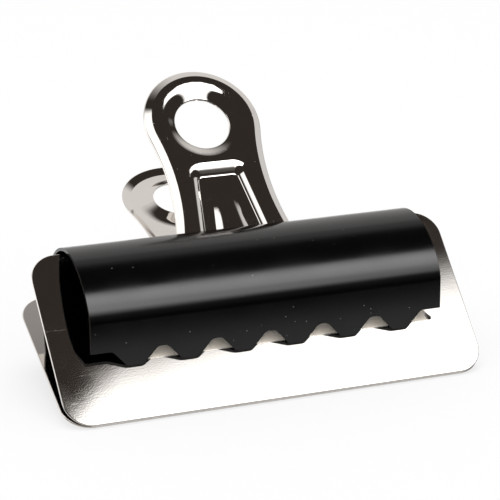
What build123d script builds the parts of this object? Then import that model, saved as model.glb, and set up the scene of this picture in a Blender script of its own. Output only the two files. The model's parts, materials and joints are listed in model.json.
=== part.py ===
from build123d import *
import os
from math import asin, atan2, cos, degrees, radians, sin, sqrt, tan

# Driving dimensions, in millimetres and degrees.

# Jaw plate
jaw_width = 75.0
jaw_height = 31.1  # lip to shoulder, along the sheet
jaw_corner_radius = 4.7
jaw_sheet = 0.4
jaw_tilt = 10.6  # how far each jaw leans out from the clip's middle plane
lip_gap = 0.06  # left between the closed lips

# Thumb lever, in one sheet with its jaw plate
lever_reach = 22.5  # shoulder to the middle of the hole
lever_end_radius = 10.65
waist_rise = 10.9  # shoulder to the narrowest place
waist_width = 18.6
rim_width = 1.4  # strip turned inwards all round the lever
rim_drop = 0.7
rim_fold_radius = 0.5
root_relief = 0.6  # notch that frees the rim from the shoulder
back_lever_set = 5.5  # how much further out the back lever is bent than its plate
back_fold_radius = 2.0  # inside of that bend
hole_radius = 4.95
dish_land = 1.15  # flat ring left between the rim and the dish round the hole
dish_drop = 0.95  # how far the edge of the hole is pressed in

# Recessed stiffening panel in the lever
panel_side_land = 3.0  # flat strip left between the rim and the panel, at the waist
panel_top_land = 1.2  # flat strip left between the dish and the panel
panel_run_in = 2.5  # how far the floor runs below the shoulder
panel_flare = 8.1  # how much each side of the floor spreads downwards
panel_drop = 0.95
panel_wall_width = 1.2
panel_corner_radius = 0.7
panel_fold_radius = 3.0
floor_fold_radius = 0.5  # inside of the fold round the floor

# Raised bead on the panel's floor
bead_gap = 4.6  # floor left above the bead's round upper end
bead_end_radius = 2.3
bead_flare = 6.6
bead_height = 0.55
bead_flank_width = 0.9
bead_fold_radius = 0.8

# Spring barrel, as seen from its end
spring_length = 63.0
spring_sheet = 0.5
crown_radius = 11.4  # outside
crown_sweep = 75.5  # from the top down each side
side_radius = 14.7
side_sweep = 38.7
curl_radius = 4.7
bite_drop = 21.5  # shoulder down to where the teeth meet the jaw
shoulder_gap = 0.5  # play between the jaws' shoulders and the crown
bearing_gap = 0.06  # left where the sheets bear on each other

# Teeth along both biting edges
tooth_count = 6
tooth_pitch = 9.55
tooth_height = 2.75
tooth_tip_width = 2.9
tooth_root_width = 7.9
tooth_corner_radius = 1.2

# Slots in the crown, one for each lever
slot_side_gap = 0.9
slot_outer_gap = 0.45
slot_corner_radius = 0.6

# How far cutting forms reach past what they cut, and how near two places count as one
spare = 2.0
tiny = 0.001

# Places that follow from them, on a jaw's own sheet: across, up from the lip, out from its face.
lever_eye = jaw_height + lever_reach
waist_level = jaw_height + waist_rise
lever_base = jaw_height + root_relief
form_depth = rim_drop + panel_drop + 2 * jaw_sheet
dish_radius = lever_end_radius - rim_width - dish_land
panel_top = lever_eye - dish_radius - panel_top_land - panel_wall_width
panel_bottom = jaw_height - panel_run_in
bead_centre = panel_top - bead_gap - bead_end_radius
rim_angle = atan2(rim_drop, rim_width)
dish_width = dish_radius - hole_radius
dish_roll = (dish_width**2 + dish_drop**2) / (2 * dish_drop)
hole_wall = dish_roll - dish_drop - sqrt((dish_roll - jaw_sheet) ** 2 - dish_width**2)
panel_angle = atan2(panel_drop, panel_wall_width)
bead_angle = atan2(bead_height, bead_flank_width)
lever_fold = Pos(0, jaw_height + root_relief / 2, back_fold_radius)
lever_bend = lever_fold * Rot(back_lever_set, 0, 0) * lever_fold.inverse()

# The waist is an arc that runs on smoothly into the lever's round end.
eye_above_waist = lever_reach - waist_rise
waist_half = waist_width / 2
waist_square = waist_half**2 + eye_above_waist**2 - lever_end_radius**2
waist_radius = waist_square / (2 * (lever_end_radius - waist_half))
waist_centre = (waist_half + waist_radius, waist_level)

# Places in the clip's own section: back from the middle plane, up from the lips.
tilt = radians(jaw_tilt)
lip_offset = jaw_sheet + lip_gap / 2


def on_jaw(rise, out):
    """Section point of the back jaw at a rise up its outer face and a distance out from it."""
    return Vector(lip_offset + rise * sin(tilt) + out * cos(tilt), rise * cos(tilt) - out * sin(tilt))


def polar(centre, radius, angle):
    """Section point at a radius and an angle about a centre."""
    return centre + Vector(radius * cos(angle), radius * sin(angle))


# The crown goes over the jaws' shoulders, and each side below it is three arcs and a straight toe.
shoulder = on_jaw(jaw_height, 0)
crown_inside = crown_radius - spring_sheet
crown_centre = Vector(0, shoulder.Y - sqrt((crown_inside - shoulder_gap) ** 2 - shoulder.X**2))
crown_end = radians(90 - crown_sweep)
side_centre = polar(crown_centre, crown_radius - side_radius, crown_end)
side_end = crown_end - radians(side_sweep)
curl_centre = polar(side_centre, side_radius - curl_radius, side_end)

# The toe leaves the curl on the tangent whose inner corner meets the jaw.
bite = on_jaw(jaw_height - bite_drop, bearing_gap)
bite_reach = bite - curl_centre
curl_inside = curl_radius - spring_sheet
toe_length = sqrt(bite_reach.length**2 - curl_inside**2)
curl_end = atan2(bite_reach.Y, bite_reach.X) + atan2(toe_length, curl_inside)
toe_run = Vector(sin(curl_end), -cos(curl_end))


def crown_crossing(radius, out):
    """Section point where a line along the back jaw, a distance out from its face, meets a round crown."""
    start = on_jaw(0, out) - crown_centre
    middle = -start.X * sin(tilt) - start.Y * cos(tilt)
    return on_jaw(middle + sqrt(middle**2 + radius**2 - start.length**2), out)


# Each lever passes through its slot and rocks on the slot's inner edge.
slot_outer = crown_crossing(crown_radius, 0).X + slot_outer_gap
pivot = crown_crossing(crown_inside, -panel_drop - jaw_sheet - bearing_gap)

# The clip lies on its back, on the lip and the barrel: the line that touches both is the table.
lip_to_curl = curl_centre - Vector(lip_offset, 0)
lying_angle = degrees(atan2(lip_to_curl.X, lip_to_curl.Y) + asin(curl_radius / lip_to_curl.length))


def mirrored(point):
    """The same point on the other side of the jaw's centre line."""
    return (-point[0], point[1])


def lever_side(level, inset):
    """Half-width of the lever at a level in its waist, for an outline set in from its edge."""
    return waist_centre[0] - sqrt((waist_radius + inset) ** 2 - (level - waist_level) ** 2)


def lever_outline(inset, base):
    """Face of the lever above a base level, set in from the lever's edge."""
    end_radius = lever_end_radius - inset
    turn = atan2(waist_level - lever_eye, waist_centre[0])
    joint = (end_radius * cos(turn), lever_eye + end_radius * sin(turn))
    waist = (waist_half - inset, waist_level)
    foot = (lever_side(base, inset), base)
    top = (0, lever_eye + end_radius)
    return make_face(
        [
            ThreePointArc(foot, waist, joint),
            ThreePointArc(joint, top, mirrored(joint)),
            ThreePointArc(mirrored(joint), mirrored(waist), mirrored(foot)),
            Line(mirrored(foot), foot),
        ]
    )


def panel_outline(grow):
    """Face of the recessed panel, a trapezoid with round corners, grown from its floor."""
    flare = radians(panel_flare)
    waist_side = waist_half - rim_width - panel_side_land - panel_wall_width
    side = waist_side + grow / cos(flare)
    top = panel_top + grow
    bottom = panel_bottom - grow
    top_corner = (side - (top - waist_level) * tan(flare), top)
    bottom_corner = (side + (waist_level - bottom) * tan(flare), bottom)
    corners = [top_corner, mirrored(top_corner), mirrored(bottom_corner), bottom_corner]
    face = make_face(Polyline(*corners, close=True))
    return fillet(face.vertices(), panel_corner_radius + grow)


def bead_outline(radius):
    """Face of the bead below its round upper end, which has that radius."""
    flare = radians(bead_flare)
    side = (radius * cos(flare), bead_centre + radius * sin(flare))
    bottom = panel_bottom - panel_wall_width
    foot = (side[0] + (side[1] - bottom) * tan(flare), bottom)
    return make_face(Polyline(foot, side, mirrored(side), mirrored(foot), close=True))


def edges_at(solid, level):
    """Edges of a form that lie at one level of the sheet's thickness."""
    return solid.edges().filter_by_position(Axis.Z, level - tiny, level + tiny)


def middle_of(edge):
    """Middle of the box that holds an edge."""
    return edge.center(CenterOf.BOUNDING_BOX)


def rolled(form, folds, radius, skin):
    """Form with its folds rolled round. Under the outer face these small folds are plain creases."""
    return form if skin else fillet(folds, radius)


def sloped(lower, upper, low, high):
    """Solid with straight sloping sides between two like faces at two levels."""
    return loft([Pos(0, 0, low) * lower, Pos(0, 0, high) * upper], ruled=True)


def rim_form(skin):
    """Lever block whose sides slope away as the rim does."""
    inset = rim_width + skin * tan(rim_angle / 2)
    base = jaw_height - root_relief
    upper = lever_outline(inset, base)
    lower = lever_outline(inset - form_depth / tan(rim_angle), base)
    block = sloped(lower, upper, -skin - form_depth, -skin)
    folds = edges_at(block, -skin).sort_by(Axis.Y)[1:]
    return rolled(block, folds, rim_fold_radius, skin)


def dish_form(skin):
    """Bell mouth that rolls the ring round the hole inwards."""
    roll = dish_roll - skin
    mouth = RadiusArc((dish_radius, -skin), (dish_radius - roll, -dish_roll), -roll)
    rest = Polyline(mouth @ 1, (0, -dish_roll), (0, -skin), mouth @ 0)
    section = make_face(mouth.edges() + rest.edges())
    return Pos(0, lever_eye) * revolve(Plane.XZ * section, Axis.Z)


def bead_form(skin):
    """The bead on its own, its foot at level zero: a tongue with a round upper end, wider downwards."""
    foot_radius = bead_end_radius - skin * tan(bead_angle / 2)
    crest_radius = foot_radius - bead_flank_width
    tongue = sloped(bead_outline(foot_radius), bead_outline(crest_radius), 0, bead_height)
    end = Cone(foot_radius, crest_radius, bead_height, align=(Align.CENTER, Align.CENTER, Align.MIN))
    bead = tongue + Pos(0, bead_centre) * end
    return rolled(bead, edges_at(bead, bead_height).sort_by(Axis.Y)[1:], bead_fold_radius, skin)


def panel_form(skin):
    """Tapered block that presses the panel inwards, less the bead that stands up from its floor."""
    floor_level = -skin - panel_drop
    grow = skin * tan(panel_angle / 2)
    block = sloped(panel_outline(grow), panel_outline(grow + panel_wall_width), floor_level, -skin)
    block = rolled(block, edges_at(block, floor_level), floor_fold_radius, skin)
    return block - Pos(0, 0, floor_level) * bead_form(skin)


def pressed_form(skin):
    """Everything under the jaw's outer face, or under a skin that far below the face."""
    plate = Box(jaw_width + spare, jaw_height + spare, form_depth)
    plate_middle = (0, (jaw_height - spare) / 2, -skin - form_depth / 2)
    form = Pos(plate_middle) * plate + rim_form(skin)
    form = form - dish_form(skin) - panel_form(skin)
    reach = lever_side(waist_level, rim_width + rim_fold_radius)
    folds = edges_at(form, -skin).filter_by(lambda edge: abs(middle_of(edge).X) < reach)
    panel_folds = folds.filter_by(lambda edge: spare < middle_of(edge).Y < panel_top + 2 * panel_wall_width)
    return fillet(panel_folds, panel_fold_radius - skin)


def jaw_blank():
    """Flat outline of plate and lever, as a block through the whole pressing."""
    plate = Pos(0, jaw_height / 2) * RectangleRounded(jaw_width, jaw_height, jaw_corner_radius)
    neck_half = lever_side(lever_base, rim_width + rim_fold_radius)
    neck = Pos(0, jaw_height) * Rectangle(2 * neck_half, 2 * (root_relief + jaw_corner_radius))
    outline = plate + lever_outline(0, lever_base) + neck
    return Pos(0, 0, -form_depth) * extrude(outline, amount=form_depth + jaw_sheet)


def pressed_jaw():
    """One jaw in its own plane: the outer face at zero, the lip along X, the lever along +Y."""
    sheet = (pressed_form(0) - pressed_form(jaw_sheet)) & jaw_blank()
    hole = Pos(0, lever_eye) * Cylinder(hole_radius, 2 * form_depth)
    return sheet - hole


def bent_jaw(jaw):
    """The same jaw with its lever bent outwards, on a round fold across the notches at its root."""
    cut = Plane(origin=(0, lever_fold.position.Y, 0), x_dir=(1, 0, 0), z_dir=(0, 1, 0))
    plate = split(jaw, cut, Keep.BOTTOM)
    lever = split(jaw, cut, Keep.TOP)
    section = lever.faces().sort_by(Axis.Y)[0]
    fold = revolve(section, Axis(lever_fold.position, (1, 0, 0)), back_lever_set)
    return plate + fold + lever_bend * lever


def arc(centre, radius, start, end):
    """Arc about a centre, from one angle to another."""
    return ThreePointArc([polar(centre, radius, angle) for angle in (start, (start + end) / 2, end)])


def barrel_line(depth):
    """Edges of one side of the barrel from crown to toe, at a depth below its outer face."""
    toe_start = polar(curl_centre, curl_radius - depth, curl_end)
    return [
        arc(crown_centre, crown_radius - depth, radians(90), crown_end),
        arc(side_centre, side_radius - depth, crown_end, side_end),
        arc(curl_centre, curl_radius - depth, side_end, curl_end),
        Line(toe_start, toe_start + toe_run * toe_length),
    ]


def tooth_gaps():
    """Block that cuts the gaps between the teeth out of the back toe."""
    end = spring_length / 2 + spare
    points = [(-end, -tooth_height)]
    for tooth in range(tooth_count):
        middle = (tooth - (tooth_count - 1) / 2) * tooth_pitch
        points.append((middle - tooth_root_width / 2, -tooth_height))
        points.append((middle - tooth_tip_width / 2, 0))
        points.append((middle + tooth_tip_width / 2, 0))
        points.append((middle + tooth_root_width / 2, -tooth_height))
    points.append((end, -tooth_height))
    edge = FilletPolyline(*points, radius=tooth_corner_radius)
    outside = Polyline(points[-1], (end, spare), (-end, spare), points[0])
    face = make_face(edge.edges() + outside.edges())
    block = Pos(0, 0, -spare) * extrude(face, amount=spring_sheet + 2 * spare)
    toe_out = (0, cos(curl_end), sin(curl_end))
    toe_plane = Plane(origin=(0, bite.X, bite.Y), x_dir=(1, 0, 0), z_dir=toe_out)
    return toe_plane.location * block


def spring_barrel():
    """The rolled spring, upright, with its toothed toes and the slots in its crown."""
    outer = barrel_line(0)
    inner = barrel_line(spring_sheet)
    crown_cut = Line(outer[0] @ 0, inner[0] @ 0)
    toe_cut = Line(outer[-1] @ 1, inner[-1] @ 1)
    section = make_face(outer + inner + [crown_cut, toe_cut])
    back = extrude(Plane.YZ * section, amount=spring_length / 2, both=True) - tooth_gaps()
    barrel = back + mirror(back, about=Plane.XZ)
    slot_length = 2 * (lever_side(lever_base, 0) + slot_side_gap)
    slot_face = RectangleRounded(slot_length, slot_outer - pivot.X, slot_corner_radius)
    slot_middle = (0, (slot_outer + pivot.X) / 2, crown_centre.Y)
    slot = Pos(slot_middle) * extrude(slot_face, amount=crown_radius + spare)
    return barrel - slot - mirror(slot, about=Plane.XZ)


# The clip upright: lips down, levers up, the middle plane at Y zero.
front_out = (0, -cos(tilt), -sin(tilt))
front_place = Plane(origin=(0, -lip_offset, 0), x_dir=(1, 0, 0), z_dir=front_out).location
back_place = Rot(0, 0, 180) * front_place
jaw = pressed_jaw()
front_jaw = front_place * jaw
back_jaw = back_place * bent_jaw(jaw)
spring = spring_barrel()

# The clip laid down, its origin on the table under the middle of its box.
laid = [Rot(lying_angle - 90, 0, 0) * piece for piece in (front_jaw, back_jaw, spring)]
box = Compound(laid).bounding_box()
table = Pos(-box.center().X, -box.center().Y, -box.min.Z) * Rot(lying_angle - 90, 0, 0)
pieces = {"front_jaw": table * front_jaw, "back_jaw": table * back_jaw, "spring": table * spring}

os.makedirs("parts", exist_ok=True)
for name, piece in pieces.items():
    export_step(piece, f"parts/{name}.step")
    print(name, len(piece.solids()), "solid", round(piece.volume, 2), "mm3")

# Where the holes and the pivots come to lie on the table.
for name, place in (("front", front_place), ("back", back_place * lever_bend)):
    hole = table * place * Pos(0, lever_eye, -dish_drop - hole_wall / 2)
    print(name, "hole", hole.position, "facing", Plane(hole).z_dir)
for name, side in (("front", -1), ("back", 1)):
    print(name, "pivot", (table * Pos(0, side * pivot.X, pivot.Y)).position)
print("lying angle", round(lying_angle, 2), "box", box.size)
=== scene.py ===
"""Looks, studio and camera of a bulldog clip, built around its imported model.

Sizes and places are in metres. Angles are in radians, apart from the studio's, which are in degrees.
"""

import json
import logging
import math
from dataclasses import dataclass
from enum import Enum
from typing import Any, Callable, ClassVar, Optional, Union

import bmesh
import bpy
from mathutils import Euler, Matrix, Quaternion, Vector
from mathutils.bvhtree import BVHTree
from mathutils.geometry import barycentric_transform

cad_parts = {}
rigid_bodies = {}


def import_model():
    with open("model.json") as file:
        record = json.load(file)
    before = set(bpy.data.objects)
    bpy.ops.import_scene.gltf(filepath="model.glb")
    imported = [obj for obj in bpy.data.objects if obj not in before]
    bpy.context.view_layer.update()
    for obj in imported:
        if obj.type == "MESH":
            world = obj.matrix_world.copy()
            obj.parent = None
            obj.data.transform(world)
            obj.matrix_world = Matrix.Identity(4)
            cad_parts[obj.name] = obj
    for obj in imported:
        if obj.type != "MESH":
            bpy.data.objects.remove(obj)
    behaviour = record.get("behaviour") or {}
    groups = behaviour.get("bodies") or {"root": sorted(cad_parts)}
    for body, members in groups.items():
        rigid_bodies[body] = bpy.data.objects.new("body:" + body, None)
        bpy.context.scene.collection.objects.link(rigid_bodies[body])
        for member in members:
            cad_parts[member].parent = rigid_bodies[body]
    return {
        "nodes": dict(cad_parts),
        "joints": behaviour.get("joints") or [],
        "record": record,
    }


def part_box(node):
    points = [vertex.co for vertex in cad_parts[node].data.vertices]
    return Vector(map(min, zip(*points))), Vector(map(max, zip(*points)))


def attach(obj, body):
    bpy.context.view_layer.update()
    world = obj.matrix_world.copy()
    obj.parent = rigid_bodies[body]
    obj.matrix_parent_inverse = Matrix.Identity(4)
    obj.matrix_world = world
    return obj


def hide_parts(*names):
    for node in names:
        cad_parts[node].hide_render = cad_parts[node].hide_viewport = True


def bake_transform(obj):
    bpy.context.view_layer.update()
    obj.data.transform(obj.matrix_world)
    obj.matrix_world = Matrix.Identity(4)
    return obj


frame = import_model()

Socket = bpy.types.NodeSocket
Feed = Union[Socket, float, tuple]
Colour = tuple[float, float, float]
Span = tuple[float, float]

SHEET_MAP = "sheet"
ACROSS = Vector((1, 0, 0))
WHITE: Colour = (1.0, 1.0, 1.0)
LOG = logging.getLogger("bulldog_clip")


class Slot(Enum):
    """Finishes that the record names."""

    NICKEL = "nickel"
    LACQUER = "black_lacquer"


class Side(Enum):
    """The two sides of the clip, by the jaw on each."""

    FRONT = "front_jaw"
    BACK = "back_jaw"


class NodeSheet:
    """A node tree with short ways to add nodes and join them."""

    MIX_SHARE: ClassVar[int] = 0
    MIX_FIRST: ClassVar[int] = 6
    MIX_SECOND: ClassVar[int] = 7
    MIX_RESULT: ClassVar[int] = 2

    def __init__(self, tree: bpy.types.NodeTree) -> None:
        """Keeps the tree that nodes are added to."""
        self.tree = tree

    def add(self, kind: str, feeds: Optional[dict[Any, Feed]] = None, **settings: Any) -> bpy.types.Node:
        """Adds a node.

        Args:
            kind: Blender's name for the kind of node.
            feeds: What goes into each input, by its name or number: a socket or a fixed value.
            settings: The node's own settings.

        Returns:
            The new node.
        """
        node = self.tree.nodes.new(kind)
        for name, value in settings.items():
            setattr(node, name, value)
        for place, feed in (feeds or {}).items():
            self.feed(node.inputs[place], feed)
        return node

    def feed(self, target: Socket, source: Feed) -> None:
        """Links a socket to an input, or sets the input to a fixed value.

        Args:
            target: The input.
            source: The socket or the value. A colour may come without its alpha.
        """
        if isinstance(source, bpy.types.NodeSocket):
            self.tree.links.new(source, target)
        elif isinstance(source, tuple) and len(target.default_value) > len(source):
            target.default_value = (*source, 1.0)
        else:
            target.default_value = source

    def math(self, operation: str, *values: Feed) -> Socket:
        """Adds a Math node and gives its result."""
        return self.add("ShaderNodeMath", dict(enumerate(values)), operation=operation).outputs[0]

    def ramp(self, value: Feed, low: float, high: float, start: float = 0.0, end: float = 1.0) -> Socket:
        """Eases from one value to another between two places.

        Args:
            value: What is measured.
            low: Where the ease begins.
            high: Where it ends.
            start: Result up to the beginning.
            end: Result from the end on.

        Returns:
            The eased value.
        """
        feeds = dict(enumerate((value, low, high, start, end)))
        return self.add("ShaderNodeMapRange", feeds, interpolation_type="SMOOTHSTEP").outputs[0]

    def between(self, value: Feed, low: Span, high: Span) -> Socket:
        """Gives 1 between two soft edges and 0 outside them.

        Args:
            value: What is measured.
            low: Where the first edge begins and ends.
            high: Where the second edge begins and ends.

        Returns:
            The mask.
        """
        rise = self.ramp(value, *low)
        fall = self.ramp(value, *high, start=1.0, end=0.0)
        return self.math("MULTIPLY", rise, fall)

    def noise(self, where: Socket, scale: Feed, detail: float = 0.0) -> Socket:
        """Adds a Noise texture and gives its value."""
        feeds = {"Vector": where, "Scale": scale, "Detail": detail}
        return self.add("ShaderNodeTexNoise", feeds).outputs[0]

    def mix(self, share: Feed, first: Feed, second: Feed) -> Socket:
        """Mixes two colours.

        Args:
            share: The share of the second colour.
            first: The first colour.
            second: The second colour.

        Returns:
            The mixed colour.
        """
        feeds = {self.MIX_SHARE: share, self.MIX_FIRST: first, self.MIX_SECOND: second}
        return self.add("ShaderNodeMix", feeds, data_type="RGBA").outputs[self.MIX_RESULT]


class SheetEffects:
    """Surface effects that the clip's finishes share, each one node group."""

    GRAIN_DETAIL: ClassVar[float] = 1.5
    STREAK_DETAIL: ClassVar[float] = 1.0
    STREAK_STRETCH: ClassVar[tuple] = (0.03, 1.0, 1.0)
    TONE_DETAIL: ClassVar[float] = 2.0

    def __init__(self) -> None:
        """Builds the groups."""
        self.grain = self.build_grain()
        self.specks = self.build_specks()

    @staticmethod
    def group(name: str, inputs: dict[str, float], outputs: list[str]) -> tuple[NodeSheet, Any, Any]:
        """Starts a group.

        Args:
            name: The group's name.
            inputs: Its number inputs, with their usual values. A Vector input comes before them.
            outputs: Its number outputs.

        Returns:
            The group's sheet, its input node and its output node.
        """
        tree = bpy.data.node_groups.new(name, "ShaderNodeTree")
        tree.interface.new_socket("Vector", in_out="INPUT", socket_type="NodeSocketVector")
        for title, usual in inputs.items():
            socket = tree.interface.new_socket(title, in_out="INPUT", socket_type="NodeSocketFloat")
            socket.default_value = usual
        for title in outputs:
            tree.interface.new_socket(title, in_out="OUTPUT", socket_type="NodeSocketFloat")
        sheet = NodeSheet(tree)
        return sheet, sheet.add("NodeGroupInput"), sheet.add("NodeGroupOutput")

    def build_grain(self) -> bpy.types.NodeTree:
        """Builds a fine grain with streaks along the sheet, and a slow change of tone.

        Returns:
            The group.
        """
        inputs = {
            "Grain per metre": 2500.0,
            "Streaks per metre": 5000.0,
            "Streak height": 0.5,
            "Tones per metre": 160.0,
        }
        sheet, given, result = self.group("sheet_grain", inputs, ["Height", "Tone"])
        values = given.outputs
        where = values["Vector"]
        fine = sheet.noise(where, values["Grain per metre"], self.GRAIN_DETAIL)
        drawn = sheet.add("ShaderNodeVectorMath", {0: where, 1: self.STREAK_STRETCH}, operation="MULTIPLY")
        streaks = sheet.noise(drawn.outputs[0], values["Streaks per metre"], self.STREAK_DETAIL)
        streaks = sheet.math("MULTIPLY", streaks, values["Streak height"])
        sheet.feed(result.inputs["Height"], sheet.math("ADD", fine, streaks))
        tone = sheet.noise(where, values["Tones per metre"], self.TONE_DETAIL)
        sheet.feed(result.inputs["Tone"], tone)
        return sheet.tree

    def build_specks(self) -> bpy.types.NodeTree:
        """Builds sparse round specks of uneven size.

        Returns:
            The group.
        """
        inputs = {"Cells per metre": 900.0, "Share": 0.7, "Speck size": 0.075}
        sheet, given, result = self.group("loose_specks", inputs, ["Mask"])
        values = given.outputs
        feeds = {"Vector": values["Vector"], "Scale": values["Cells per metre"]}
        cells = sheet.add("ShaderNodeTexVoronoi", feeds)
        lot, size, _ = sheet.add("ShaderNodeSeparateColor", {0: cells.outputs["Color"]}).outputs
        chosen = sheet.math("LESS_THAN", lot, values["Share"])
        reach = sheet.math("MULTIPLY", values["Speck size"], size)
        near = sheet.math("LESS_THAN", cells.outputs["Distance"], reach)
        sheet.feed(result.inputs["Mask"], sheet.math("MULTIPLY", chosen, near))
        return sheet.tree


class FinishDraft:
    """A finish while it is built: its nodes, with the grain and the specks of the sheet."""

    def __init__(self, slot: Slot, effects: SheetEffects) -> None:
        """Starts the material and lays the shared effects on the piece.

        Args:
            slot: The slot that the finish is for.
            effects: The shared surface effects.
        """
        self.material = bpy.data.materials.new(slot.value)
        self.material.use_nodes = True
        self.sheet = NodeSheet(self.material.node_tree)
        self.surface = self.material.node_tree.nodes["Principled BSDF"]
        self.where = self.sheet.add("ShaderNodeTexCoord").outputs["Object"]
        placed = {"Vector": self.where}
        self.grain = self.sheet.add("ShaderNodeGroup", placed, node_tree=effects.grain)
        self.specks = self.sheet.add("ShaderNodeGroup", placed, node_tree=effects.specks)

    def paint(self, channel: str, source: Socket) -> None:
        """Joins what changes over the sheet to one of the surface's inputs."""
        self.sheet.feed(self.surface.inputs[channel], source)

    def emboss(self, height: float) -> None:
        """Raises the grain from the surface, by a height in metres."""
        feeds = {"Height": self.grain.outputs["Height"], "Distance": height}
        self.paint("Normal", self.sheet.add("ShaderNodeBump", feeds).outputs[0])


@dataclass(frozen=True)
class NickelPlate:
    """Bright nickel on pressed steel: a mirror with a fine grain, specks and hair scratches.

    Where the spring's teeth rub the plates, the mirror is scuffed to a dull band, its pale colour a painted
    reflection.
    """

    colour: Colour = (0.80, 0.765, 0.73)
    dull_colour: Colour = (0.72, 0.68, 0.64)
    dull_tones: Span = (0.4, 0.75)
    dull_share: float = 0.35
    speck_colour: Colour = (0.30, 0.29, 0.27)
    roughness: Span = (0.03, 0.05)
    rough_tones: Span = (0.35, 0.7)
    grain_per_metre: float = 4500.0
    grain_height: float = 0.0000008
    streak_share: float = 0.25
    # The scuffed band's pale beige is a painted reflection: it stands in for the light that the plate
    # mirrors between the teeth.
    scuff_and_reflection_colour: Colour = (1.0, 0.91, 0.79)
    scuff_roughness: float = 0.45
    scuff_and_reflection_film: float = 0.85
    scuff_and_reflection_low: Span = (0.0100, 0.0104)
    scuff_and_reflection_high: Span = (0.0135, 0.0150)
    scuff_and_reflection_span: Span = (-0.0255, 0.0300)
    scuff_and_reflection_fade: float = 0.001
    scuff_and_reflection_grain: Span = (0.45, 0.75)
    scuff_and_reflection_least: float = 0.8
    scratch_roughness: float = 0.075
    scratch_turn: tuple[float, float, float] = (0.5, 0.35, 0.25)
    scratch_stretch: tuple[float, float, float] = (0.05, 1.0, 1.0)
    scratches_per_metre: float = 300.0
    scratch_level: float = 0.5
    scratch_margin: float = 0.005
    patches_per_metre: float = 260.0
    patch_share: float = 0.42

    def material(self, effects: SheetEffects) -> bpy.types.Material:
        """Builds the finish.

        Args:
            effects: The shared surface effects.

        Returns:
            The material.
        """
        draft = FinishDraft(Slot.NICKEL, effects)
        draft.grain.inputs["Grain per metre"].default_value = self.grain_per_metre
        draft.grain.inputs["Streak height"].default_value = self.streak_share
        sheet = draft.sheet
        tone = draft.grain.outputs["Tone"]
        specks = draft.specks.outputs["Mask"]
        scuff_and_reflection = self.scuff_and_reflection_band(sheet, draft.grain.outputs["Height"])
        dull = sheet.ramp(tone, *self.dull_tones, end=self.dull_share)
        colour = sheet.mix(dull, self.colour, self.dull_colour)
        # Painted reflection: the scuffed band gets a pale colour in place of the light that the plate
        # mirrors between the teeth.
        colour = sheet.mix(scuff_and_reflection, colour, self.scuff_and_reflection_colour)
        draft.paint("Base Color", sheet.mix(specks, colour, self.speck_colour))
        rough = sheet.ramp(tone, *self.rough_tones, *self.roughness)
        scratched = sheet.math("MULTIPLY", self.scratches(sheet, draft.where), self.scratch_roughness)
        scuffed = sheet.math("MULTIPLY", scuff_and_reflection, self.scuff_roughness)
        worn = sheet.math("MAXIMUM", scratched, scuffed)
        draft.paint("Roughness", sheet.math("MAXIMUM", rough, worn))
        # The film covers the metal in the scuffed band, so that its painted pale reflection shows.
        covered = sheet.math("MAXIMUM", specks, sheet.math("MULTIPLY", scuff_and_reflection, self.scuff_and_reflection_film))
        draft.paint("Metallic", sheet.math("SUBTRACT", 1.0, covered))
        draft.emboss(self.grain_height)
        return draft.material

    def scuff_and_reflection_band(self, sheet: NodeSheet, grain: Socket) -> Socket:
        """Gives how far the plate is scuffed and painted with a pale reflection, from its height above the
        lip and its grain.

        Args:
            sheet: The material's nodes.
            grain: The grain's height, which breaks the band up.

        Returns:
            The mask of the scuffed band with its painted reflection.
        """
        placed = sheet.add("ShaderNodeUVMap", uv_map=SHEET_MAP).outputs[0]
        across, height, _ = sheet.add("ShaderNodeSeparateXYZ", {0: placed}).outputs
        band = sheet.between(height, self.scuff_and_reflection_low, self.scuff_and_reflection_high)
        first, last = self.scuff_and_reflection_span
        inside = sheet.between(across, (first, first + self.scuff_and_reflection_fade), (last - self.scuff_and_reflection_fade, last))
        uneven = sheet.ramp(grain, *self.scuff_and_reflection_grain, start=self.scuff_and_reflection_least)
        return sheet.math("MULTIPLY", sheet.math("MULTIPLY", band, inside), uneven)

    def scratches(self, sheet: NodeSheet, where: Socket) -> Socket:
        """Gives a few faint hair scratches that cross the sheet at a slant.

        Args:
            sheet: The material's nodes.
            where: The place on the piece.

        Returns:
            The mask of the scratches.
        """
        feeds = {"Vector": where, "Rotation": self.scratch_turn, "Scale": self.scratch_stretch}
        turned = sheet.add("ShaderNodeMapping", feeds).outputs[0]
        waves = sheet.noise(turned, self.scratches_per_metre)
        off_line = sheet.math("ABSOLUTE", sheet.math("SUBTRACT", waves, self.scratch_level))
        hair = sheet.math("LESS_THAN", off_line, self.scratch_margin)
        patches = sheet.noise(where, self.patches_per_metre)
        kept = sheet.math("LESS_THAN", patches, self.patch_share)
        return sheet.math("MULTIPLY", hair, kept)


@dataclass(frozen=True)
class BlackLacquer:
    """Stoved black lacquer on spring steel: glossy, a little uneven, with dust in it."""

    colour: Colour = (0.0009, 0.0009, 0.0011)
    dust_colour: Colour = (0.22, 0.22, 0.21)
    dust_cells_per_metre: float = 800.0
    roughness: Span = (0.15, 0.19)
    rough_tones: Span = (0.3, 0.7)
    grain_height: float = 0.0000005
    streak_share: float = 0.0
    ior: float = 1.5

    def material(self, effects: SheetEffects) -> bpy.types.Material:
        """Builds the finish.

        Args:
            effects: The shared surface effects.

        Returns:
            The material.
        """
        draft = FinishDraft(Slot.LACQUER, effects)
        draft.grain.inputs["Streak height"].default_value = self.streak_share
        draft.specks.inputs["Cells per metre"].default_value = self.dust_cells_per_metre
        dust = draft.specks.outputs["Mask"]
        tone = draft.grain.outputs["Tone"]
        draft.paint("Base Color", draft.sheet.mix(dust, self.colour, self.dust_colour))
        draft.paint("Roughness", draft.sheet.ramp(tone, *self.rough_tones, *self.roughness))
        draft.emboss(self.grain_height)
        draft.surface.inputs["IOR"].default_value = self.ior
        return draft.material


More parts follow.
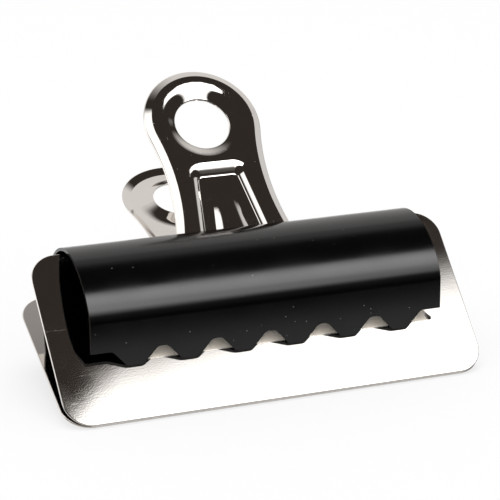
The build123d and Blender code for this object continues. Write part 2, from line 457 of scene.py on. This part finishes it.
def add_piece(name: str, mesh: bpy.types.Mesh) -> bpy.types.Object:
    """Adds an object to the scene.

    Args:
        name: The object's name.
        mesh: Its mesh.

    Returns:
        The object, active and alone selected.
    """
    piece = bpy.data.objects.new(name, mesh)
    bpy.context.scene.collection.objects.link(piece)
    bpy.ops.object.select_all(action="DESELECT")
    bpy.context.view_layer.objects.active = piece
    piece.select_set(True)
    return piece


@dataclass(frozen=True)
class EdgeRounding:
    """How the cut edges of a sheet are rounded off.

    The rounded faces have a second material until the normals are carried over.
    """

    ROUNDED_SLOT: ClassVar[int] = 1

    width: float
    steps: int
    sharp_angle: float
    flat_angle: float = math.radians(0.5)
    merge_gap: float = 0.000001
    inward: float = 0.05

    def merged(self, solid: bpy.types.Mesh, name: str) -> bpy.types.Object:
        """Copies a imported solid, merges its loose facets and joins those that lie flat.

        Args:
            solid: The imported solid.
            name: The copy's name.

        Returns:
            The copy, one closed mesh at the origin, active and alone selected.
        """
        piece = add_piece(name, solid.copy())
        bpy.ops.object.mode_set(mode="EDIT")
        bpy.ops.mesh.select_all(action="SELECT")
        bpy.ops.mesh.customdata_custom_splitnormals_clear()
        bpy.ops.mesh.remove_doubles(threshold=self.merge_gap)
        bpy.ops.mesh.dissolve_limited(angle_limit=self.flat_angle)
        bpy.ops.object.mode_set(mode="OBJECT")
        return piece

    def rounded(
        self,
        node: str,
        name: str,
        finish: bpy.types.Material,
        cut: Optional[Callable[[bpy.types.Mesh], None]] = None,
    ) -> bpy.types.Object:
        """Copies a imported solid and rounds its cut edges.

        Args:
            node: The solid's name.
            name: The copy's name.
            finish: The copy's material.
            cut: What cuts some of the copy's faces smaller, if anything does.

        Returns:
            The copy, one closed mesh at the origin.
        """
        solid = frame["nodes"][node].data
        piece = self.merged(solid, name)
        piece.data.materials.clear()
        for _ in range(self.ROUNDED_SLOT + 1):
            piece.data.materials.append(finish)
        rounding = piece.modifiers.new("edges", "BEVEL")
        rounding.width = self.width
        rounding.segments = self.steps
        rounding.limit_method = "ANGLE"
        rounding.angle_limit = self.sharp_angle
        rounding.material = self.ROUNDED_SLOT
        bpy.ops.object.modifier_apply(modifier=rounding.name)
        if cut:
            cut(piece.data)
        bpy.ops.object.shade_smooth(keep_sharp_edges=False)
        self.carry_normals(piece.data, solid)
        piece.data.polygons.foreach_set("material_index", [0] * len(piece.data.polygons))
        piece.data.materials.pop(index=self.ROUNDED_SLOT)
        return piece

    def carry_normals(self, mesh: bpy.types.Mesh, solid: bpy.types.Mesh) -> None:
        """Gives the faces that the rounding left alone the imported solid's own normals.

        The rounded faces turn smoothly from one side to the other.

        Args:
            mesh: The rounded copy.
            solid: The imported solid.
        """
        solid.calc_loop_triangles()
        mesh.calc_loop_triangles()
        sources = solid.loop_triangles
        points = [point.co for point in solid.vertices]
        tree = BVHTree.FromPolygons(points, [source.vertices for source in sources])
        normals = [mesh.vertices[corner.vertex_index].normal.copy() for corner in mesh.loops]
        carried: dict[int, Vector] = {}
        for facet in mesh.loop_triangles:
            if facet.material_index == self.ROUNDED_SLOT:
                continue
            for corner, point in zip(facet.loops, facet.vertices):
                place = mesh.vertices[point].co
                _, _, nearest, _ = tree.find_nearest(place.lerp(facet.center, self.inward))
                source = sources[nearest]
                corners = [solid.vertices[index].co for index in source.vertices]
                ends = [solid.corner_normals[index].vector for index in source.loops]
                normals[corner] = barycentric_transform(place, *corners, *ends).normalized()
                carried[point] = normals[corner]
        for face in mesh.polygons:
            if face.material_index != self.ROUNDED_SLOT:
                continue
            for corner in face.loop_indices:
                point = mesh.loops[corner].vertex_index
                normals[corner] = carried.get(point, normals[corner])
        mesh.normals_split_custom_set(normals)


@dataclass(frozen=True)
class HoleDish:
    """The dish round a lever's hole, drawn from an even bell mouth into a rolled cone.

    The turn of the normals fades out on the wall of the hole, which runs along the axis.
    """

    radius: float = 0.0081
    hole: float = 0.00495
    drop: float = 0.00095
    slope: float = math.radians(22)
    reach: float = 0.003
    wall_fade: float = 2.0

    def bell(self, inset: float) -> tuple[float, float]:
        """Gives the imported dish's form.

        Args:
            inset: How far in from the dish's rim.

        Returns:
            The depth and the tilt there.
        """
        width = self.radius - self.hole
        roll = (width**2 + self.drop**2) / (2 * self.drop)
        return roll - math.sqrt(roll**2 - inset**2), math.asin(inset / roll)

    def cone(self, inset: float) -> tuple[float, float]:
        """Gives the drawn dish's form: rolled at the rim, straight from there to the hole.

        Args:
            inset: How far in from the dish's rim.

        Returns:
            The depth and the tilt there.
        """
        width = self.radius - self.hole
        steep = math.tan(self.slope)
        roll = (width * steep - self.drop) / (math.sin(self.slope) * steep - 1 + math.cos(self.slope))
        straight = inset - roll * math.sin(self.slope)
        if straight > 0:
            return roll * (1 - math.cos(self.slope)) + straight * steep, self.slope
        return roll - math.sqrt(roll**2 - inset**2), math.asin(inset / roll)

    def draw(self, mesh: bpy.types.Mesh, normals: list[Vector], middle: Vector, axis: Vector) -> None:
        """Moves the dish of a jaw from the bell to the cone and turns its normals with it.

        Args:
            mesh: The jaw's mesh.
            normals: Its corners' normals.
            middle: A point on the hole's axis, inside the sheet.
            axis: The direction that the dish faces.
        """
        turns: dict[int, tuple[Vector, float]] = {}
        for point in mesh.vertices:
            out = point.co - middle
            height = out.dot(axis)
            out -= axis * height
            inset = self.radius - out.length
            if inset <= 0 or abs(height) > self.reach:
                continue
            depth, tilt = self.cone(inset)
            packed_depth, packed_tilt = self.bell(inset)
            point.co -= axis * (depth - packed_depth)
            turns[point.index] = (out.normalized().cross(axis), tilt - packed_tilt)
        for corner in mesh.loops:
            if corner.vertex_index in turns:
                normal = normals[corner.index]
                hinge, turn = turns[corner.vertex_index]
                facing = min(1.0, self.wall_fade * abs(normal.dot(axis)))
                normal.rotate(Quaternion(hinge, turn * facing))


@dataclass(frozen=True)
class PanelBead:
    """The bead in a lever's panel, drawn from an even ridge into one that swells out of the floor.

    Places are measured on the lever: across it, down it from the middle of the hole, and out of it.
    The bead rises from its end to its full height and widens by its flare. The crest is the share of its
    half width that is round, with straight flanks beside it.
    """

    end: float = 0.0132
    full: float = 0.0226
    height: float = 0.00095
    swell: float = 2.5
    end_half_width: float = 0.00178
    flare: float = 0.16
    crest: float = 0.7
    floor: float = 0.00024
    sheet: float = 0.0004
    root: Span = (0.0218, 0.0232)
    cell: float = 0.0004
    cut_gap: float = 0.0000001
    panel_half_width: float = 0.0066
    panel_reach: Span = (0.004, 0.026)
    least_facing: float = 0.6

    def half_width(self, down: float) -> float:
        """Gives half the bead's width at a distance down the lever."""
        return self.end_half_width + self.flare * (down - self.end)

    def form(self, across: float, down: float) -> Vector:
        """Gives the bead's form at a place on the lever.

        Args:
            across: The place across the lever.
            down: The place down it.

        Returns:
            The slopes across and down the lever, and the height over the floor.
        """
        half = self.half_width(down)
        share = min(1.0, abs(across) / half)
        left = max(0.0, (self.full - down) / (self.full - self.end))
        middle = self.height * (1 - left**self.swell)
        climb = self.height * self.swell * left ** (self.swell - 1) / (self.full - self.end)
        whole = 1 - self.crest / 2
        level = (1 - share) / whole
        fall = -1 / whole
        if share < self.crest:
            level = 1 - share**2 / (2 * self.crest * whole)
            fall = -share / (self.crest * whole)
        slope_across = middle * fall / half * math.copysign(1.0, across)
        slope_down = climb * level - middle * fall * share * self.flare / half
        return Vector((slope_across, slope_down, middle * level))

    def planes(self) -> list[tuple[Vector, Vector]]:
        """Lists the planes that cut the panel: round the bead's outline, then across and down it.

        Returns:
            For each plane a point on it and the direction that it faces.
        """
        cuts = [(Vector((0, self.end, 0)), Vector((0, 1, 0)))]
        for way in (-1, 1):
            corner = Vector((way * self.end_half_width, self.end, 0))
            cuts.append((corner, Vector((1, -way * self.flare, 0))))
        last = self.root[1]
        widest = int(self.half_width(last) / self.cell)
        for number in range(-widest, widest + 1):
            cuts.append((Vector((number * self.cell, 0, 0)), Vector((1, 0, 0))))
        for number in range(int(self.end / self.cell) + 1, int(last / self.cell) + 1):
            cuts.append((Vector((0, number * self.cell, 0)), Vector((0, 1, 0))))
        return cuts

    def in_panel(self, face: Any, placing: Matrix) -> bool:
        """Says whether a face is part of the panel's floor or bead.

        Args:
            face: The face.
            placing: Turns places of the frame into places on the lever.

        Returns:
            Whether it is.
        """
        first, last = self.panel_reach
        places = [placing @ point.co for point in face.verts]
        inside = all(abs(place.x) < self.panel_half_width and first < place.y < last for place in places)
        return inside and abs((placing.to_3x3() @ face.normal).z) > self.least_facing

    def cut(self, mesh: bpy.types.Mesh, placing: Matrix) -> None:
        """Cuts the panel's floor and bead into small cells, with an edge along the bead's outline.

        Args:
            mesh: The jaw's mesh.
            placing: Turns places of the frame into places on the lever.
        """
        draft = bmesh.new()
        draft.from_mesh(mesh)
        faces = [face for face in draft.faces if self.in_panel(face, placing)]
        edges = {edge for face in faces for edge in face.edges}
        points = {point for face in faces for point in face.verts}
        geometry = [*faces, *edges, *points]
        back = placing.inverted()
        for place, way in self.planes():
            plane = {"plane_co": back @ place, "plane_no": (back.to_3x3() @ way).normalized()}
            geometry = bmesh.ops.bisect_plane(draft, geom=geometry, dist=self.cut_gap, **plane)["geom"]
        draft.to_mesh(mesh)
        draft.free()

    def draw(self, mesh: bpy.types.Mesh, normals: list[Vector], placing: Matrix) -> None:
        """Moves the cells inside the bead's outline to its height and turns their normals with them.

        Over its root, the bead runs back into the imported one.

        Args:
            mesh: The jaw's mesh, cut.
            normals: Its corners' normals.
            placing: Turns places of the frame into places on the lever.
        """
        back = placing.inverted()
        turn = back.to_3x3()
        places = [placing @ point.co for point in mesh.vertices]
        first, last = self.root
        faces = [(face, placing @ face.center, (placing.to_3x3() @ face.normal).z) for face in mesh.polygons]
        for face, middle, facing in faces:
            inside = self.end < middle.y < last and abs(middle.x) < self.half_width(middle.y)
            if not inside or not -self.sheet < middle.z < self.height:
                continue
            for corner in face.loop_indices:
                point = mesh.loops[corner].vertex_index
                across, down, packed = places[point]
                form = self.form(across, down)
                drawn = min(1.0, max(0.0, (last - down) / (last - first)))
                level = self.floor + form.z - (self.sheet if facing < 0 else 0.0)
                mesh.vertices[point].co = back @ Vector((across, down, packed + (level - packed) * drawn))
                normal = Vector((-form.x, -form.y, 1.0)).normalized() * math.copysign(1.0, facing)
                normals[corner] = normals[corner].lerp(turn @ normal, drawn).normalized()


@dataclass
class Jaw:
    """One pressed jaw with its lever, with the cut edges of its sheet rounded off."""

    side: Side
    dish: HoleDish = HoleDish()
    bead: PanelBead = PanelBead()
    edges: EdgeRounding = EdgeRounding(width=0.00018, steps=4, sharp_angle=math.radians(50))

    def build(self, finish: bpy.types.Material) -> bpy.types.Object:
        """Builds the jaw and hangs it on its body.

        Args:
            finish: The nickel plate.

        Returns:
            The jaw's object.
        """
        body = self.side.value
        holes = {mount["name"]: mount for mount in frame["record"]["mounts"]}
        hole = holes[f"{self.side.name.lower()}_hole"]
        middle = Vector(hole["pos_m"])
        outward = Vector(hole["axis"]).normalized()
        placing = self.placing(body, middle, outward)
        jaw = self.edges.rounded(body, f"{body}_pressing", finish, lambda mesh: self.bead.cut(mesh, placing))
        normals = [corner.vector.copy() for corner in jaw.data.corner_normals]
        self.dish.draw(jaw.data, normals, middle, outward)
        self.bead.draw(jaw.data, normals, placing)
        jaw.data.normals_split_custom_set(normals)
        self.map_sheet(jaw.data, outward)
        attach(jaw, body)
        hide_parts(body)
        return jaw

    @staticmethod
    def placing(body: str, middle: Vector, outward: Vector) -> Matrix:
        """Finds what turns places of the frame into places on the lever.

        Args:
            body: The jaw's body.
            middle: The middle of the lever's hole.
            outward: The direction that the lever's outer face looks.

        Returns:
            The matrix that gives the place across the lever, down it from the hole, and out of it.
        """
        low, high = (Vector(corner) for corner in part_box(body))
        down = outward.cross(ACROSS)
        if down.dot((low + high) / 2 - middle) < 0:
            down.negate()
        return Matrix((ACROSS, down, outward)).to_4x4() @ Matrix.Translation(-middle)

    @staticmethod
    def map_sheet(mesh: bpy.types.Mesh, outward: Vector) -> None:
        """Maps the jaw by its place across and its height above the lip, in metres.

        Heights on the inner face are negative, so that the two faces are told apart.

        Args:
            mesh: The jaw's mesh.
            outward: The direction that the jaw's outer face looks.
        """
        plate = max(mesh.polygons, key=lambda face: face.area)
        up = plate.normal.cross(ACROSS)
        heights = [up.dot(point.co) for point in mesh.vertices]
        middle = up.dot(plate.center)
        if max(heights) - middle < middle - min(heights):
            heights = [-height for height in heights]
        lip = min(heights)
        layer = mesh.uv_layers.new(name=SHEET_MAP)
        for face in mesh.polygons:
            way = -1 if face.normal.dot(outward) < 0 else 1
            for corner in face.loop_indices:
                point = mesh.loops[corner].vertex_index
                layer.uv[corner].vector = (mesh.vertices[point].co.x, way * (heights[point] - lip))


@dataclass
class SpringBarrel:
    """The rolled spring, cut into two halves at the crown, one on the side of each jaw it bites."""

    node: str = "spring"
    bend_reach: float = 0.0224
    edges: EdgeRounding = EdgeRounding(width=0.00006, steps=2, sharp_angle=math.radians(40))

    def pivots(self) -> tuple[Vector, Vector]:
        """Finds where the levers rock on the crown.

        Returns:
            The front lever's place and the back lever's place.
        """
        places = {}
        for joint in frame["joints"]:
            places[frozenset((joint["parent"], joint["child"]))] = Vector(joint["pos_m"])
        return tuple(places[frozenset((self.node, side.value))] for side in (Side.FRONT, Side.BACK))

    def half(self, barrel: bpy.types.Object, side: Side) -> bpy.types.Object:
        """Cuts one half out of a copy of the whole spring.

        Args:
            barrel: The whole spring.
            side: Which half.

        Returns:
            The half, open only along the crown where the other half joins it.
        """
        front, back = self.pivots()
        across = front - back if side is Side.FRONT else back - front
        piece = add_piece(f"spring_{side.name.lower()}", barrel.data.copy())
        bpy.ops.object.mode_set(mode="EDIT")
        bpy.ops.mesh.select_all(action="SELECT")
        bpy.ops.mesh.bisect(plane_co=(front + back) / 2, plane_no=across.normalized(), clear_inner=True)
        bpy.ops.object.mode_set(mode="OBJECT")
        normals = piece.modifiers.new("normals", "DATA_TRANSFER")
        normals.object = barrel
        normals.use_loop_data = True
        normals.data_types_loops = {"CUSTOM_NORMAL"}
        normals.loop_mapping = "POLYINTERP_NEAREST"
        bpy.ops.object.modifier_apply(modifier=normals.name)
        return piece

    def build(self, finish: bpy.types.Material) -> list[bpy.types.Object]:
        """Builds both halves, each with its transform baked in.

        Args:
            finish: The lacquer.

        Returns:
            The two halves.
        """
        barrel = self.edges.rounded(self.node, "barrel", finish)
        halves = []
        for side in Side:
            piece = self.half(barrel, side)
            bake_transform(piece)
            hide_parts(self.node)
            halves.append(piece)
        bpy.data.objects.remove(barrel)
        return halves


@dataclass(frozen=True)
class StudioPanel:
    """One bright surface of the studio, by the angles at which it is seen from the clip.

    Angles go from the back over the top to the front, in degrees, and sideways reach from left (-1) to
    right (1). Each edge is soft and is given by where it begins and ends. The slant tips the low and high
    edges, in degrees for each unit of reach, and the lean tips the left edge, in reach for each degree, up
    to the far left edge.
    """

    low: Span
    high: Span
    strength: float
    left: Span = (-2.0, -1.5)
    far_left: Span = (-2.0, -1.5)
    right: Span = (1.5, 2.0)
    slant: float = 0.0
    lean: float = 0.0
    colour: Colour = WHITE


@dataclass
class Studio:
    """White backdrop and table, a soft box, a screen, two walls, one lamp and the camera.

    The lens and the sensor are in millimetres. The clip mirrors the table at three levels: far in front of
    it, near it and behind it.
    """

    camera_place: tuple[float, float, float] = (-0.129547, -0.329781, 0.144244)
    camera_turn: float = -22.3087
    camera_rise: float = 19.848
    camera_roll: float = 1.0071
    lens: float = 154.396
    sensor: float = 36.0
    floor_reach: float = 0.6
    floor_colour: Colour = (0.97, 0.97, 0.97)
    floor_mirrored: tuple[float, float, float] = (0.02, 0.62, 1.0)
    floor_front: Span = (-0.072, -0.055)
    floor_back: Span = (-0.01, 0.05)
    shadow_share: float = 0.3
    dark: Colour = (0.034, 0.028, 0.024)
    plain_light: float = 0.75
    lamp_power: float = 2.7
    lamp_size: float = 0.6
    lamp_height: float = 0.9
    slant_middle: float = 0.33
    lean_middle: float = 111.35
    backdrop_colour: Colour = (1.0, 0.985, 0.97)
    left_corner: Span = (-0.80, -0.65)
    right_corner: Span = (0.80, 0.87)
    screen_left: Span = (-0.72, -0.62)
    screen_right: Span = (-0.40, -0.33)
    box_left: Span = (0.2735, 0.2885)
    box_far_left: Span = (0.04, 0.14)
    box_right: Span = (0.5, 0.62)
    box_slant: float = -9.0
    box_lean: float = 0.016

    def panels(self) -> tuple[StudioPanel, ...]:
        """Lists the studio's bright surfaces.

        Returns:
            The backdrop, the soft box in four steps, a screen, the left wall and the right wall.
        """
        edges = {
            "left": self.box_left,
            "far_left": self.box_far_left,
            "right": self.box_right,
            "slant": self.box_slant,
            "lean": self.box_lean,
        }
        corner = self.right_corner
        tint = self.backdrop_colour
        backdrop = StudioPanel(low=(-60, 30), high=(54, 76), strength=0.75, right=corner, colour=tint)
        soft_box = (
            StudioPanel(low=(109.6, 111.3), high=(140, 162), strength=1.25, **edges),
            StudioPanel(low=(110.6, 114), high=(138, 160), strength=1.3, **edges),
            StudioPanel(low=(109.6, 120), high=(121, 142), strength=2.6, **edges),
            StudioPanel(low=(109.6, 111.3), high=(150, 190), strength=0.12, **edges),
        )
        ends = {"left": self.screen_left, "right": self.screen_right}
        screen = StudioPanel(low=(74, 80), high=(117, 123), strength=1.4, **ends)
        left_wall = StudioPanel(low=(-60, -30), high=(80, 100), strength=1.0, right=self.left_corner)
        right_wall = StudioPanel(low=(47, 53), high=(86, 100), strength=0.7, left=corner)
        return (backdrop, *soft_box, screen, left_wall, right_wall)

    def set_camera(self) -> None:
        """Places the camera as the photograph was taken."""
        data = bpy.data.cameras.new("camera")
        data.lens = self.lens
        data.sensor_width = self.sensor
        camera = bpy.data.objects.new("camera", data)
        bpy.context.scene.collection.objects.link(camera)
        camera.location = self.camera_place
        turn = Euler((0, 0, math.radians(self.camera_turn))).to_matrix()
        rise = Euler((math.radians(90 - self.camera_rise), 0, 0)).to_matrix()
        roll = Euler((0, 0, math.radians(self.camera_roll))).to_matrix()
        camera.rotation_euler = (turn @ rise @ roll).to_euler()
        bpy.context.scene.camera = camera

    def panel_light(self, sheet: NodeSheet, sideways: Socket, angle: Socket, panel: StudioPanel) -> Socket:
        """Gives the light of one bright surface in each direction.

        Args:
            sheet: The world's nodes.
            sideways: The direction's reach sideways.
            angle: The direction's angle.
            panel: The surface.

        Returns:
            The surface's light, black outside its edges.
        """
        aside = sheet.math("SUBTRACT", sideways, self.slant_middle)
        above = sheet.math("SUBTRACT", angle, self.lean_middle)
        tipped = sheet.math("SUBTRACT", angle, sheet.math("MULTIPLY", aside, panel.slant))
        leant = sheet.math("ADD", sideways, sheet.math("MULTIPLY", above, panel.lean))
        mask = sheet.between(tipped, panel.low, panel.high)
        mask = sheet.math("MULTIPLY", mask, sheet.ramp(leant, *panel.left))
        mask = sheet.math("MULTIPLY", mask, sheet.ramp(sideways, *panel.far_left))
        mask = sheet.math("MULTIPLY", mask, sheet.ramp(sideways, *panel.right, start=1.0, end=0.0))
        full = tuple(part * panel.strength for part in panel.colour)
        return sheet.add("ShaderNodeVectorMath", {0: full, "Scale": mask}, operation="SCALE").outputs[0]

    def set_world(self) -> None:
        """Builds the studio that the clip mirrors, white to the camera."""
        world = bpy.data.worlds.new("studio")
        bpy.context.scene.world = world
        world.use_nodes = True
        sheet = NodeSheet(world.node_tree)
        way = sheet.add("ShaderNodeTexCoord").outputs["Generated"]
        sideways, depth, height = sheet.add("ShaderNodeSeparateXYZ", {0: way}).outputs
        angle = sheet.math("DEGREES", sheet.math("ARCTAN2", height, depth))
        mirrored: Socket = sheet.add("ShaderNodeRGB").outputs[0]
        mirrored.default_value = (*self.dark, 1.0)
        for panel in self.panels():
            light = self.panel_light(sheet, sideways, angle, panel)
            total = sheet.add("ShaderNodeVectorMath", {0: mirrored, 1: light}, operation="ADD")
            mirrored = total.outputs[0]
        path = sheet.add("ShaderNodeLightPath").outputs
        plain = (self.plain_light,) * len(WHITE)
        shown = sheet.mix(path["Is Glossy Ray"], plain, mirrored)
        shown = sheet.mix(path["Is Transmission Ray"], shown, WHITE)
        shown = sheet.mix(path["Is Camera Ray"], shown, WHITE)
        sheet.feed(world.node_tree.nodes["Background"].inputs["Color"], shown)

    def table_finish(self) -> bpy.types.Material:
        """Builds the table's white, which keeps a soft shadow and has its own levels in mirrors.

        Returns:
            The material.
        """
        material = bpy.data.materials.new("table_white")
        material.use_nodes = True
        sheet = NodeSheet(material.node_tree)
        lit = material.node_tree.nodes["Principled BSDF"]
        lit.inputs["Base Color"].default_value = (*self.floor_colour, 1.0)
        lit.inputs["Roughness"].default_value = 1.0
        lit.inputs["Specular IOR Level"].default_value = 0.0
        glow = sheet.add("ShaderNodeEmission", {"Color": WHITE})
        path = sheet.add("ShaderNodeLightPath").outputs
        seen = sheet.math("MAXIMUM", path["Is Camera Ray"], path["Is Transmission Ray"])
        share = sheet.math("MULTIPLY", seen, 1 - self.shadow_share)
        shown = sheet.add("ShaderNodeMixShader", {0: share, 1: lit.outputs[0], 2: glow.outputs[0]})
        where = sheet.add("ShaderNodeTexCoord").outputs["Object"]
        depth = sheet.add("ShaderNodeSeparateXYZ", {0: where}).outputs[1]
        far, near, behind = self.floor_mirrored
        level = sheet.ramp(depth, *self.floor_front, far, near)
        level = sheet.math("ADD", level, sheet.ramp(depth, *self.floor_back, 0.0, behind - near))
        mirrored = sheet.add("ShaderNodeEmission", {"Color": WHITE, "Strength": level})
        feeds = {0: path["Is Glossy Ray"], 1: shown.outputs[0], 2: mirrored.outputs[0]}
        whole = sheet.add("ShaderNodeMixShader", feeds)
        sheet.feed(material.node_tree.nodes["Material Output"].inputs[0], whole.outputs[0])
        return material

    def set_floor(self) -> None:
        """Lays the pale table, white to the camera but for a soft shadow."""
        bpy.ops.object.select_all(action="DESELECT")
        bpy.ops.mesh.primitive_plane_add(size=2 * self.floor_reach, location=(0, 0, 0))
        floor = bpy.context.active_object
        floor.name = "table"
        floor.data.materials.append(self.table_finish())

    def set_lamp(self) -> None:
        """Hangs the soft lamp over the clip."""
        data = bpy.data.lights.new("lamp", "AREA")
        data.energy = self.lamp_power
        data.size = self.lamp_size
        lamp = bpy.data.objects.new("lamp", data)
        bpy.context.scene.collection.objects.link(lamp)
        lamp.location = (0, 0, self.lamp_height)
        lamp.visible_glossy = False

    def build(self) -> None:
        """Sets up the whole studio."""
        self.set_camera()
        self.set_world()
        self.set_floor()
        self.set_lamp()
        bpy.context.scene.view_settings.view_transform = "Standard"


def main() -> None:
    """Dresses the clip, sets up the studio and reports each piece."""
    logging.basicConfig(level=logging.INFO, format="%(name)s: %(message)s")
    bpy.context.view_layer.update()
    effects = SheetEffects()
    nickel = NickelPlate().material(effects)
    lacquer = BlackLacquer().material(effects)
    pieces = [Jaw(side).build(nickel) for side in Side]
    pieces += SpringBarrel().build(lacquer)
    for piece in pieces:
        LOG.info("%s has %d faces in %s", piece.name, len(piece.data.polygons), piece.data.materials[0].name)
    Studio().build()


if __name__ == "__main__":
    main()
